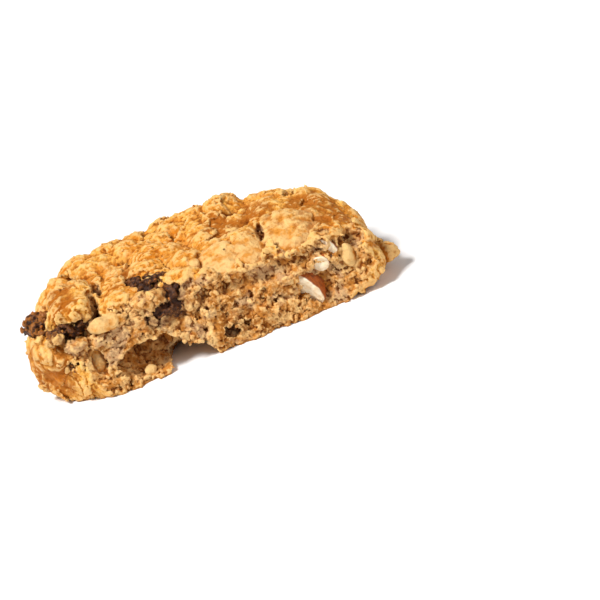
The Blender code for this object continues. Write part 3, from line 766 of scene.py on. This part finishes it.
def new_object(name):
    made = bpy.data.objects.new(name, bpy.data.meshes.new(name))
    bpy.context.scene.collection.objects.link(made)
    return made


def applied(obj):
    """Puts the evaluated mesh in place of the modifiers."""
    bpy.context.view_layer.update()
    graph = bpy.context.evaluated_depsgraph_get()
    mesh = bpy.data.meshes.new_from_object(obj.evaluated_get(graph))
    obj.modifiers.clear()
    obj.data = mesh
    return obj


def largest_island(geometry):
    """Drops loose scraps and sealed bubbles from a mesh."""
    island = Field(geometry.tree.nodes.new("GeometryNodeInputMeshIsland").outputs["Island Index"])
    counted = geometry.node("GeometryNodeAccumulateField", {"data_type": "INT"})
    fill(counted.inputs["Group ID"], island)
    counted.inputs["Value"].default_value = 1
    total = Field(counted.outputs["Total"])
    sockets = {"Geometry": geometry, "Attribute": total}
    largest = geometry.made("GeometryNodeAttributeStatistic", output="Max", **sockets)
    scraps = geometry.made("FunctionNodeCompare", {"operation": "LESS_THAN"}, A=total, B=largest)
    return geometry.made("GeometryNodeDeleteGeometry", Geometry=geometry, Selection=scraps)


def surface_of(solid, low, high, voxel):
    """The surface where this density passes zero, between two corners of the round's frame."""
    shift = Vector((*ORIGIN_IN_ROUND, 0.0))
    volume = solid.node("GeometryNodeVolumeCube", Density=solid, Background=-1.0)
    volume.inputs["Min"].default_value = (Vector(low) - shift) * MM
    volume.inputs["Max"].default_value = (Vector(high) - shift) * MM
    for axis, bottom, top in zip("XYZ", low, high):
        fill(volume.inputs["Resolution " + axis], (top - bottom) / voxel)
    volume = Field(volume.outputs[0])
    return largest_island(solid.made("GeometryNodeVolumeToMesh", Volume=volume, Threshold=0.0))


def box_round(lobes, margin):
    """Two corners of a box that holds these ellipsoids, each a centre and radii, with a margin."""
    low = [min(centre[axis] - radii[axis] for centre, radii in lobes) - margin for axis in range(3)]
    high = [max(centre[axis] + radii[axis] for centre, radii in lobes) + margin for axis in range(3)]
    return low, high


def relief_sizes(growth, shape):
    """The named inputs that set the crust's relief."""
    return {
        "Plate tilt": growth.size("Plate tilt", shape.plate_tilt),
        "Plate step": growth.size("Plate step", shape.plate_step),
    }


def bulge(tree, rounds):
    """How far the surface stands out from its blurred form, in millimetres: below 0 in hollows."""
    position = Field(tree.nodes.new("GeometryNodeInputPosition").outputs[0])
    normal = Field(tree.nodes.new("GeometryNodeInputNormal").outputs[0])
    blur = position.node("GeometryNodeBlurAttribute", {"data_type": "FLOAT_VECTOR"}, Iterations=rounds)
    fill(blur.inputs["Value"], position)
    return position.less(Field(blur.outputs["Value"])).dot(normal) * (1 / MM)


def stored(geometry, **values):
    """Keeps each field as a named attribute of the mesh's points."""
    for name, value in values.items():
        made = geometry.node("GeometryNodeStoreNamedAttribute", Geometry=geometry, Value=value)
        made.inputs["Name"].default_value = name
        geometry = Field(made.outputs[0])
    return geometry


def random_vector(field, low, high, seed):
    """A random vector between two corners."""
    made = field.node("FunctionNodeRandomValue", {"data_type": "FLOAT_VECTOR"}, Seed=seed)
    made.inputs[0].default_value = low
    made.inputs[1].default_value = high
    return Field(made.outputs[0])


def scattered_over(surface, share, spacing, sizes):
    """Small round bits over a surface at least this far apart, each of its own size and turn."""
    points = surface.node(
        "GeometryNodeDistributePointsOnFaces",
        {"distribute_method": "POISSON"},
        Mesh=surface,
        Distance_Min=spacing * MM,
        Density_Max=1.0 / (spacing * MM) ** 2,
        Density_Factor=share,
        Seed=SEED,
    )
    rings = {"Segments": BIT_SEGMENTS, "Rings": BIT_RINGS}
    bit = surface.node("GeometryNodeMeshUVSphere", Radius=BIT_RADIUS * MM, **rings)
    turn = random_vector(surface, (0.0, 0.0, 0.0), (math.tau, math.tau, math.tau), SEED + 1)
    placed = surface.node("GeometryNodeInstanceOnPoints", Points=Field(points.outputs["Points"]))
    fill(placed.inputs["Instance"], Field(bit.outputs["Mesh"]))
    fill(placed.inputs["Rotation"], surface.made("FunctionNodeEulerToRotation", Euler=turn))
    fill(placed.inputs["Scale"], random_vector(surface, *sizes, SEED + 2))
    return surface.made("GeometryNodeRealizeInstances", Geometry=Field(placed.outputs[0]))


def refined(mesh, distance):
    """Splits each face in four and moves the points along their normals to where the distance is zero."""
    tree = mesh.tree
    normal = Field(tree.nodes.new("GeometryNodeInputNormal").outputs[0])
    move = (distance * -REFINE_SHARE).clamped(-REFINE_REACH, REFINE_REACH) * MM
    moved = mesh.made("GeometryNodeSubdivideMesh", Mesh=mesh, Level=1)
    for _ in range(REFINE_STEPS):
        offset = normal.made("ShaderNodeVectorMath", {"operation": "SCALE"}, Scale=move)
        fill(offset.socket.node.inputs[0], normal)
        moved = moved.made("GeometryNodeSetPosition", Geometry=moved, Offset=offset)
    return moved


def thinned(obj, triangles):
    """Decimates the object to about this many triangles."""
    obj.data.calc_loop_triangles()
    decimate = obj.modifiers.new("Thin", "DECIMATE")
    decimate.ratio = min(1.0, triangles / len(obj.data.loop_triangles))
    return applied(obj)


def finished_piece(obj, slot, *nodes):
    """Gives a piece its smooth faces and body, and hides the CAD parts that it stands for. Its slot is not
    used.
    """
    obj.data.shade_smooth()
    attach(obj, "root")
    if nodes:
        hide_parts(*nodes)
    return obj


# Materials.


class Finish:
    """A new material with a Principled shader, and the fields that its pattern is made from."""

    def __init__(self, name):
        self.material = bpy.data.materials.new(name)
        self.material.use_nodes = True
        tree = self.material.node_tree
        self.shader = tree.nodes["Principled BSDF"]
        coordinates = Field(tree.nodes.new("ShaderNodeTexCoord").outputs["Object"])
        self.point = coordinates.scaled((1 / MM, 1 / MM, 1 / MM))

    def attribute(self, name):
        return self.point.made("ShaderNodeAttribute", {"attribute_name": name}, output="Fac")

    def set(self, **sockets):
        for name, value in sockets.items():
            fill(self.shader.inputs[name.replace("_", " ")], value)

    def bump(self, height, distance):
        sockets = {"Height": height, "Strength": 1.0, "Distance": distance}
        self.set(Normal=self.point.made("ShaderNodeBump", **sockets))


def crust_colour(finish, colours, browned):
    """Golden crust in patches, browned here and there; painted shade browns its recesses and pits and makes
    its hollows deep brown, and a painted highlight makes each ridge pale.
    """
    point, fine, wide = finish.point, finish.attribute("fine"), finish.attribute("wide")
    stand = wide.smaller(MOST_STAND)
    # Browning mixed with painted shade: it grows where the surface is recessed and on the browner parts,
    # some of which are painted shade.
    stand_weight, browned_and_shaded_weight = TOAST_AND_SHADE_WEIGHTS
    toasted = point.clouds(*TOAST_CLOUDS) - stand * stand_weight + point.clouds(*TOAST_SPECKS)
    toasted = toasted + browned * browned_and_shaded_weight
    # Painted shade in the small pits.
    pits = -fine - point.clouds(*PIT_SHADE_CLOUDS)
    # Painted highlight on the ridges and raised parts.
    stand_weight, browned_and_shaded_weight = RIDGE_WEIGHTS
    ridge = fine + stand * stand_weight + point.clouds(*RIDGE_CLOUDS) - browned * browned_and_shaded_weight
    return layered(
        colours.crust,
        (point.patches(*ORANGE_PATCHES), colours.orange),
        (finish.attribute("patch").cover(*PLATE_COVER), colours.flake),
        (point.patches(*FLAKE_PATCHES), colours.flake),
        (point.patches(*TAN_PATCHES), colours.tan),
        # Browning with painted shade, painted shade in the pits and hollows, and a painted highlight on the
        # ridges.
        (toasted.cover(*TOAST_AND_SHADE_COVER), colours.toast),
        (pits.cover(*PIT_SHADE_COVER), colours.toast),
        ((-wide).cover(*CRUST_HOLLOW_COVER), colours.hollow_shade),
        (ridge.cover(*RIDGE_COVER), colours.ridge_highlight),
        (point.patches(*TOAST_GRAINS), colours.toast),
    )


def crumb_colour(finish, colours):
    """Crumb with moist, pale and grey parts; painted shade darkens its pits and gaps, and a painted
    highlight makes its ridges pale.
    """
    point, fine, wide = finish.point, finish.attribute("fine"), finish.attribute("wide")
    # Painted shade in the pits.
    pits = -fine - point.clouds(*CRUMB_PIT_CLOUDS)
    return layered(
        colours.crumb,
        (point.patches(*LIGHT_CRUMB_PATCHES), colours.crumb_light_and_highlight),
        (point.patches(*DARK_CRUMB_PATCHES), colours.crumb_dark_and_shade),
        (point.patches(*GREY_CRUMB_PATCHES), colours.crumb_grey),
        # Painted shade in the pits and hollows, and a painted highlight on the ridges.
        (pits.cover(*CRUMB_PIT_COVER), colours.crumb_dark_and_shade),
        ((-wide).cover(*CRUMB_HOLLOW_COVER), colours.hollow_shade),
        (fine.cover(*CRUMB_RIDGE_COVER), colours.crumb_light_and_highlight),
    )


def oat_colour(finish, colours, browned):
    """Pale oat flakes with browned edges, paler on their ridges as a painted highlight and browner where
    recessed as a painted shade.
    """
    point, fine = finish.point, finish.attribute("fine")
    # The fine bulge paints the ridges paler as a highlight and browns the recessed parts as a painted shade.
    pale = point.noise(*OAT_NOISE) + fine * OAT_FINE_WEIGHT
    burnt_and_shaded = point.noise(*OAT_TOAST_NOISE) - fine + browned * OAT_BROWNED_AND_SHADED_WEIGHT
    oat = (pale.cover(*OAT_COVER), colours.oat)
    return layered(colours.crust, oat, (burnt_and_shaded.cover(*OAT_TOAST_AND_SHADE_COVER), colours.toast))


def dough_finish(colours):
    """Crust outside and crumb inside, with whole oat flakes, stains round the fruit and a browned base."""
    finish = Finish("baked_dough")
    point = finish.point
    # The browner parts of the crust, some of them painted shade.
    browned = finish.attribute("toasted").ramp(*BROWNED_AND_SHADED_EDGE)
    inside = (finish.attribute("depth") + point.clouds(*INSIDE_CLOUDS)).cover(*INSIDE_COVER)
    flake = (finish.attribute("flake") + point.clouds(*FLAKE_CLOUDS)).cover(*FLAKE_COVER)
    stain = (finish.attribute("stain") + point.clouds(*STAIN_CLOUDS)).cover(*STAIN_COVER)
    base = finish.attribute("height").cover(*BASE_COVER) * (point.patches(*BASE_PATCHES) + BASE_LEAST)
    distance, chance, _ = point.scattered(SPECK_SPACING)
    speck = (distance + point.clouds(*SPECK_CLOUDS)).cover(*SPECK_COVER)
    colour = layered(
        crust_colour(finish, colours, browned),
        (inside, crumb_colour(finish, colours)),
        (flake, oat_colour(finish, colours, browned)),
        (stain * inside, colours.fig_stain),
        (base, colours.base),
        (speck * chance.parts()[0].ramp(*SPECK_CHANCE), colours.speck),
    )
    roughness = point.noise(1.1, 3.0) * 0.4 + 0.55
    finish.set(Base_Color=colour, Roughness=roughness, Specular_IOR_Level=0.08)
    finish.bump(point.noise(0.6, 4.0, 0.7) + point.cells(0.9) * 0.4, 0.0005)
    return finish.material


def fig_finish(colours):
    """Dark, sticky fig flesh with browner ridges painted as a highlight and folds darkened as a painted
    shade, baked golden brown at the left end.
    """
    finish = Finish("dried_fig")
    point = finish.point
    fine = finish.attribute("fine")
    # Painted highlight on the ridges.
    ridge = fine + point.clouds(*FIG_RIDGE_CLOUDS)
    clouds = point.noise(*FIG_CRUMB_NOISE)
    baked = point.parts()[0].ramp(*BAKED_FROM) * (clouds + fine).cover(*BAKED_COVER)
    colour = layered(
        colours.fig,
        (point.patches(*FIG_LIGHT_PATCHES), colours.fig_light_and_highlight),
        (ridge.cover(*FIG_RIDGE_COVER), colours.fig_light_and_highlight),
        ((clouds + fine * 0.5).cover(*FIG_CRUMB_COVER), colours.crumb),
        (baked, colours.fig_baked),
        # Painted shade in the folds.
        ((-fine).cover(*FIG_HOLLOW_COVER), colours.fig_fold_shade),
    )
    roughness = point.noise(1.0, 3.0) * 0.5 + 0.36
    finish.set(Base_Color=colour, Roughness=roughness, Specular_IOR_Level=0.3)
    finish.bump(point.noise(0.6, 4.0, 0.6), 0.0005)
    return finish.material


def seed_finish(colours):
    """Small golden seeds."""
    finish = Finish("fig_seed")
    colour = mixed(finish.point.patches(*SEED_PATCHES), colours.seed, colours.toast)
    finish.set(Base_Color=colour, Roughness=0.35)
    finish.bump(finish.point.noise(0.3, 2.0), 0.0001)
    return finish.material


def almond_finish(colours):
    """Grooved brown skin round a cream cut face."""
    finish = Finish("almond")
    point = finish.point
    grooves = point.scaled(SKIN_STRETCH).noise(*SKIN_NOISE)
    skin = mixed(grooves.cover(*SKIN_COVER), colours.skin, colours.skin_dark)
    flesh = mixed(point.patches(*FLESH_PATCHES), colours.flesh, colours.flesh_shade)
    cut = finish.attribute("cut").ramp(*CUT_EDGE)
    finish.set(Base_Color=mixed(cut, skin, flesh), Roughness=0.45)
    finish.bump(grooves, 0.0004)
    return finish.material


def floor_finish(colours):
    finish = Finish("studio_floor")
    finish.set(Base_Color=(*colours.floor, 1.0), Roughness=0.9)
    return finish.material


# What a user would change.


def colour_property(name, description, value):
    shown = {"name": name, "description": description}
    return FloatVectorProperty(default=value, subtype="COLOR", min=0.0, max=1.0, **shown)


def size_property(name, description, value):
    shown = {"name": name, "description": description}
    return FloatProperty(default=value, min=value * 0.3, max=value * 3.0, **shown)


class BiscuitColours(bpy.types.PropertyGroup):
    """Colours of the baked dough, the fruit and the nuts."""

    crust: colour_property("Crust", "Golden baked surface", (0.72, 0.275, 0.032))
    orange: colour_property("Orange", "Warmer patches of the crust", (0.70, 0.22, 0.013))
    tan: colour_property("Tan", "Paler, duller patches of the crust", (0.76, 0.40, 0.125))
    flake: colour_property("Flake", "Yellower patches over oat flakes", (0.92, 0.48, 0.10))
    # Painted highlight on the crust's ridges.
    ridge_highlight: colour_property("Light crust", "Palest ridges of the crust", (0.96, 0.63, 0.25))
    oat: colour_property("Oat", "Oat flakes that show whole", (0.88, 0.56, 0.22))
    # Browned crust, also painted as shade in recesses and pits.
    toast: colour_property("Toast", "Browned ridges and edges", (0.42, 0.115, 0.008))
    base: colour_property("Base", "Browned underside", (0.44, 0.15, 0.02))
    crumb: colour_property("Crumb", "Broken inside", (0.58, 0.22, 0.036))
    # Pale crumb, also painted as a highlight on the crumb's ridges.
    crumb_light_and_highlight: colour_property("Light crumb", "Palest bits of the inside", (0.97, 0.62, 0.25))
    crumb_grey: colour_property("Grey crumb", "Oat flakes inside the crumb", (0.55, 0.34, 0.18))
    # Moist crumb, also painted as shade in the crumb's pits.
    crumb_dark_and_shade: colour_property("Dark crumb", "Moist parts of the inside", (0.25, 0.065, 0.008))
    # Painted shade in deep gaps and hollows.
    hollow_shade: colour_property("Hollow", "Deep gaps and crevices", (0.10, 0.020, 0.0015))
    speck: colour_property("Speck", "Small dark specks of bran", (0.10, 0.035, 0.012))
    fig: colour_property("Fig", "Dried fig", (0.045, 0.011, 0.0015))
    # Painted shade in the fig's folds.
    fig_fold_shade: colour_property("Deep fig", "Folds of the fig", (0.010, 0.0025, 0.0006))
    # Lighter fig flesh, also painted as a highlight on the fig's ridges.
    fig_light_and_highlight: colour_property("Fig flesh", "Lighter fig flesh", (0.30, 0.10, 0.016))
    fig_baked: colour_property("Baked fig", "Fig that the oven has browned", (0.42, 0.14, 0.018))
    fig_stain: colour_property("Fig stain", "Dough stained by the fruit", (0.20, 0.085, 0.035))
    seed: colour_property("Seed", "Fig seeds", (0.42, 0.18, 0.03))
    skin: colour_property("Almond skin", "Brown skin", (0.44, 0.10, 0.009))
    skin_dark: colour_property("Dark skin", "Grooves of the skin", (0.24, 0.05, 0.005))
    flesh: colour_property("Almond flesh", "Cut face of an almond", (0.97, 0.83, 0.60))
    flesh_shade: colour_property("Flesh shade", "Darker parts of the cut face", (0.84, 0.62, 0.36))
    floor: colour_property("Floor", "Studio floor", (0.9, 0.9, 0.9))


class BiscuitShape(bpy.types.PropertyGroup):
    """Sizes of the fine relief."""

    voxel: size_property("Voxel", "Step of the dough's first mesh, in mm", 0.5)
    triangles: IntProperty(name="Triangles", default=190000, min=10000, max=199000)
    plate_tilt: size_property("Plate tilt", "Slope of the flakes under the crust", 0.35)
    plate_step: size_property("Plate step", "Height of the flakes under the crust, in mm", 0.8)
    crumb_spacing: size_property("Crumb spacing", "Least distance between loose crumbs, in mm", 1.0)
    seed_spacing: size_property("Seed spacing", "Least distance between fig seeds, in mm", 1.5)


class BiscuitSettings(bpy.types.PropertyGroup):
    """All the settings of the biscuit."""

    colours: PointerProperty(type=BiscuitColours)
    shape: PointerProperty(type=BiscuitShape)


# One operator for each kind of piece.


class BISCUIT_OT_bake_dough(bpy.types.Operator):
    """Make the dough with its crust and crumb"""

    bl_idname = "biscuit.bake_dough"
    bl_label = "Bake Dough"

    def execute(self, context):
        shape = context.scene.biscuit.shape
        finish = dough_finish(context.scene.biscuit.colours)
        voxel = shape.voxel * 1.0
        growth = Growth("dough_growth")
        sizes = relief_sizes(growth, shape)
        distance = dough_distances(growth.point(), sizes)[0]
        coarse = surface_of(-distance, DOUGH_LOW, DOUGH_HIGH, growth.size("Voxel", voxel))
        half = growth.finished(refined(coarse, distance), new_object("baked_half"), finish)
        thinned(half, shape.triangles)

        paint = Growth("dough_paint", takes_mesh=True)
        point = paint.point()
        _, flake, depth = dough_distances(point, relief_sizes(paint, shape))
        painted = stored(
            Field(paint.input.outputs["Geometry"]),
            depth=depth.larger(CLUMP_DEEP - nearest_of(point, CLUMPS)),
            flake=flake,
            patch=point.scattered(PLATE_SIZE)[1].parts()[1],
            stain=nearest_of(point, [lobe for lobes in FIGS.values() for lobe in lobes]),
            # The browner parts, some of them painted shade.
            toasted=nearest_of(point, TOASTED_AND_SHADED),
            height=point.parts()[2],
            # How far the surface stands out, which paints shade into hollows and pits and highlights onto
            # ridges.
            fine=bulge(paint.tree, FINE_ROUNDS),
            wide=bulge(paint.tree, WIDE_ROUNDS),
        )
        paint.finished(painted, half, finish)
        half.data.transform(Matrix.Translation((0.0, 0.0, -FLAT_CUT * MM)))
        finished_piece(half, "dough", "biscuit_half")

        loose = Growth("loose_crumbs_growth")
        bare = loose.point().patches(*BARE_PATCHES) + BARE_LEAST
        inside = loose.attribute("depth").cover(*CRUMBS_INSIDE) + CRUMBS_LEAST
        off_flakes = loose.attribute("flake").ramp(*CRUMBS_OFF_FLAKES)
        off_base = loose.attribute("height").ramp(*CRUMBS_OFF_BASE)
        share = inside * off_flakes * bare * off_base
        crumbs = scattered_over(loose.surface(half), share, shape.crumb_spacing, CRUMB_SIZES)
        crumbs = stored(crumbs, fine=LOOSE_CRUMB_FINE)
        crumbs = loose.finished(crumbs, new_object("loose_crumbs"), finish)
        finished_piece(crumbs, "dough")
        return {"FINISHED"}


class BISCUIT_OT_set_figs(bpy.types.Operator):
    """Set the pieces of dried fig in the break"""

    bl_idname = "biscuit.set_figs"
    bl_label = "Set Figs"

    def execute(self, context):
        finish = fig_finish(context.scene.biscuit.colours)
        figs = []
        for node, lobes in FIGS.items():
            growth = Growth(node + "_growth")
            low, high = box_round(lobes, FIG_MARGIN)
            solid = -(fig_distance(growth.point(), lobes) + fig_flesh(growth.point()))
            surface = surface_of(solid, low, high, growth.size("Voxel", PIECE_VOXEL))
            # How far the fig's surface stands out, which paints its folds with shade and its ridges with
            # highlights.
            surface = stored(surface, fine=bulge(growth.tree, FINE_ROUNDS))
            piece = growth.finished(surface, new_object(node.replace("fig", "dried_fig")), finish)
            figs.append(finished_piece(piece, "fig", node))

        growth = Growth("fig_seeds_growth")
        spacing = context.scene.biscuit.shape.seed_spacing
        seeds = scattered_over(growth.surface(*figs), SEED_SHARE, spacing, SEED_SIZES)
        seeds = growth.finished(seeds, new_object("fig_seeds"), seed_finish(context.scene.biscuit.colours))
        finished_piece(seeds, "fig")
        return {"FINISHED"}


class BISCUIT_OT_set_almonds(bpy.types.Operator):
    """Set the chopped almond in the break"""

    bl_idname = "biscuit.set_almonds"
    bl_label = "Set Almonds"

    def execute(self, context):
        finish = almond_finish(context.scene.biscuit.colours)
        for node, (centre, radii, turns, cut_at) in NUTS.items():
            growth = Growth(node + "_growth")
            low, high = box_round([(centre, (max(radii),) * 3)], NUT_MARGIN)
            nut, cut = nut_distances(growth.point(), centre, radii, turns, cut_at)
            surface = surface_of(-nut, low, high, growth.size("Voxel", PIECE_VOXEL))
            surface = stored(surface, cut=abs(cut))
            piece = growth.finished(surface, new_object(node.replace("almond", "chopped_almond")), finish)
            finished_piece(piece, "almond", node)
        return {"FINISHED"}


class BISCUIT_OT_set_stage(bpy.types.Operator):
    """Set the floor, the lights and the camera"""

    bl_idname = "biscuit.set_stage"
    bl_label = "Set Stage"

    def execute(self, context):
        scene = context.scene
        bpy.ops.mesh.primitive_plane_add(size=FLOOR_SIZE)
        floor = context.object
        floor.name = "studio_floor"
        floor.data.materials.append(floor_finish(scene.biscuit.colours))
        floor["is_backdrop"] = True

        world = bpy.data.worlds.new("studio_air")
        scene.world = world
        world.use_nodes = True
        background = world.node_tree.nodes["Background"]
        background.inputs["Color"].default_value = (1.0, 1.0, 1.0, 1.0)
        background.inputs["Strength"].default_value = AIR_STRENGTH
        scene.view_settings.view_transform = "Standard"

        for name, (place, width, power) in LIGHTS.items():
            data = bpy.data.lights.new(name, "AREA")
            data.size = width
            data.energy = power
            lamp = bpy.data.objects.new(name, data)
            lamp.location = place
            toward = Vector(LIGHT_TARGET) - Vector(place)
            lamp.rotation_euler = toward.to_track_quat("-Z", "Y").to_euler()
            scene.collection.objects.link(lamp)

        data = bpy.data.cameras.new("camera")
        data.lens = LENS
        data.sensor_width = SENSOR
        camera = bpy.data.objects.new("camera", data)
        scene.collection.objects.link(camera)
        scene.camera = camera
        elevation = math.radians(VIEW_ELEVATION)
        forward = Vector((0.0, math.cos(elevation), -math.sin(elevation)))
        roll = Matrix.Rotation(math.radians(-VIEW_ROLL), 3, "Z")
        aim = forward.to_track_quat("-Z", "Y").to_matrix() @ roll
        focal_pixels = LENS / SENSOR * IMAGE_SIZE
        distance = focal_pixels / PIXELS_PER_MM * MM
        across = (BREAK_FOOT_PIXEL[0] - IMAGE_SIZE / 2) / PIXELS_PER_MM * MM
        upward = (IMAGE_SIZE / 2 - BREAK_FOOT_PIXEL[1]) / PIXELS_PER_MM * MM
        break_foot = Vector((-ORIGIN_IN_ROUND[0], -ORIGIN_IN_ROUND[1], 0.0)) * MM
        place = break_foot - forward * distance - aim @ Vector((across, upward, 0.0))
        camera.matrix_world = Matrix.Translation(place) @ aim.to_4x4()
        return {"FINISHED"}


class BISCUIT_PT_panel(bpy.types.Panel):
    """The biscuit's operators and settings"""

    bl_idname = "BISCUIT_PT_panel"
    bl_label = "Biscuit"
    bl_space_type = "VIEW_3D"
    bl_region_type = "UI"
    bl_category = "Biscuit"

    def draw(self, context):
        for operator in OPERATORS:
            self.layout.operator(operator.bl_idname)
        for group in (context.scene.biscuit.colours, context.scene.biscuit.shape):
            for name in group.__annotations__:
                self.layout.prop(group, name)


OPERATORS = (
    BISCUIT_OT_bake_dough,
    BISCUIT_OT_set_figs,
    BISCUIT_OT_set_almonds,
    BISCUIT_OT_set_stage,
)
CLASSES = (BiscuitColours, BiscuitShape, BiscuitSettings, *OPERATORS, BISCUIT_PT_panel)


def register():
    for one in CLASSES:
        bpy.utils.register_class(one)
    bpy.types.Scene.biscuit = PointerProperty(type=BiscuitSettings)


def unregister():
    del bpy.types.Scene.biscuit
    for one in reversed(CLASSES):
        bpy.utils.unregister_class(one)


def main():
    register()
    bpy.ops.biscuit.bake_dough()
    bpy.ops.biscuit.set_figs()
    bpy.ops.biscuit.set_almonds()
    bpy.ops.biscuit.set_stage()
    sizes = {"cad": CAD_BOUNDS, "visual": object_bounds()}
    sizes = {name: [list(corner) for corner in corners] for name, corners in sizes.items()}


if __name__ == "__main__":
    main()
